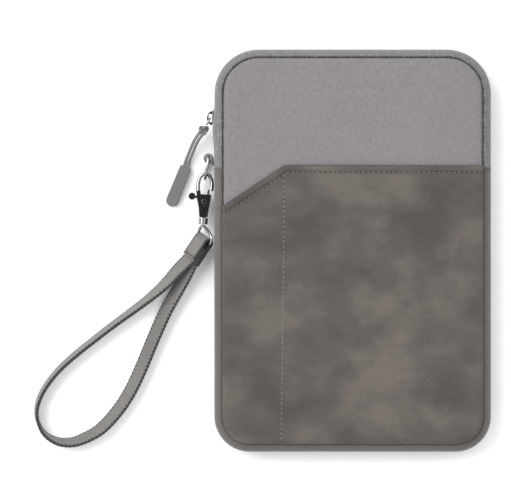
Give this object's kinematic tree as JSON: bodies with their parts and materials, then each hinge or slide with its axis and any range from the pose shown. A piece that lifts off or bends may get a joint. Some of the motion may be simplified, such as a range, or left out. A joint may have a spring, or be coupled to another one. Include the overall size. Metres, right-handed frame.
{
  "type": "tablet case",
  "caption": "Padded tablet sleeve with a zipped mouth, a sloping slip pocket on the front, a cord zip puller and a clip-on wrist strap.",
  "frame": {"origin": "middle of the flat back, on the surface that the case lies on", "axes": "+Z out of the front panel, +Y towards the zipped top end, +X to the right seen from the front, away from the wrist strap"},
  "size_m": [0.273, 0.24, 0.022],
  "materials": {
    "woven_cloth": "heather plain weave",
    "edge_cloth": "heather knit",
    "foam": "closed-cell foam",
    "lining": "short plush",
    "soft_leather": "mottled nubuck look",
    "thread": "polyester sewing thread",
    "tape": "woven tape",
    "coil": "nylon coil",
    "metal": "polished plate",
    "cord": "braided cord",
    "grip": "moulded, satin",
    "band": "smooth band with stitched edges"
  },
  "bodies": {
    "case": {"bottom_gusset": "edge_cloth", "zip_strip_back": "edge_cloth", "back_cover": "woven_cloth", "back_foam": "foam", "back_lining": "lining", "front_lining_lower": "lining", "front_foam_lower": "foam", "front_cover_lower": "woven_cloth", "binding_back": "tape", "binding_front_lower": "tape", "zip_tape_back": "tape", "zip_chain_back": "coil", "zip_stop_left": "tape", "zip_stop_right": "tape", "pocket_panel": "soft_leather", "pocket_hem": "soft_leather", "divider_thread": "thread", "hem_thread": "thread", "ring_tab": "edge_cloth"},
    "mouth": {"front_cover_upper": "woven_cloth", "front_foam_upper": "foam", "front_lining_upper": "lining", "binding_front_upper": "tape", "zip_strip_front": "edge_cloth", "zip_tape_front": "tape", "zip_chain_front": "coil"},
    "slider": {"slider_body": "metal", "slider_bridge": "metal"},
    "puller": {"pull_ring": "metal", "pull_knot": "cord", "pull_cord": "cord", "pull_tab": "grip"},
    "ring": {"side_ring": "metal"},
    "clasp": {"clasp_body": "metal", "gate_rivet": "metal", "gate_spring": "metal"},
    "gate": {"clasp_gate": "metal"},
    "eye": {"swivel_pin": "metal", "strap_eye": "metal"},
    "strap": {"wrist_strap": "band", "strap_end_wrap": "band", "strap_stitch": "thread"}
  },
  "joints": [
    {"name": "mouth_fold", "type": "hinge", "parent": "case", "child": "mouth", "pos_m": [0, 0.0515, 0.02], "axis": [1, 0, 0], "range_deg": [0, 60]},
    {"name": "zip_slide", "type": "slide", "parent": "case", "child": "slider", "axis": [0, 1, 0], "range_m": [-0.008, 0.011]},
    {"name": "pull_swing", "type": "hinge", "parent": "slider", "child": "puller", "pos_m": [-0.0849, 0.079, 0.01], "axis": [0, 0, -1], "range_deg": [0, 100]},
    {"name": "ring_swing", "type": "hinge", "parent": "case", "child": "ring", "pos_m": [-0.0859, 0.0549, 0.008], "axis": [0, 0, -1], "range_deg": [0, 35]},
    {"name": "clasp_swing", "type": "hinge", "parent": "ring", "child": "clasp", "pos_m": [-0.08809, 0.04249, 0.008], "axis": [0, 0, -1], "range_deg": [0, 18]},
    {"name": "gate_press", "type": "hinge", "parent": "clasp", "child": "gate", "pos_m": [-0.08855, 0.02918, 0.008], "axis": [0, 0, 1], "range_deg": [0, 22], "stiffness_Nm_per_rad": 0.02, "springref_deg": -11.46},
    {"name": "eye_swivel", "type": "hinge", "parent": "clasp", "child": "eye", "pos_m": [-0.08932, 0.01455, 0.008], "axis": [-0.0523, -0.9986, 0], "range_deg": [-2, 85]},
    {"name": "strap_swing", "type": "hinge", "parent": "eye", "child": "strap", "pos_m": [-0.08879, 0.00612, 0.00913], "axis": [0.59, -0.39, 0.707], "range_deg": [-45, 15]}
  ]
}
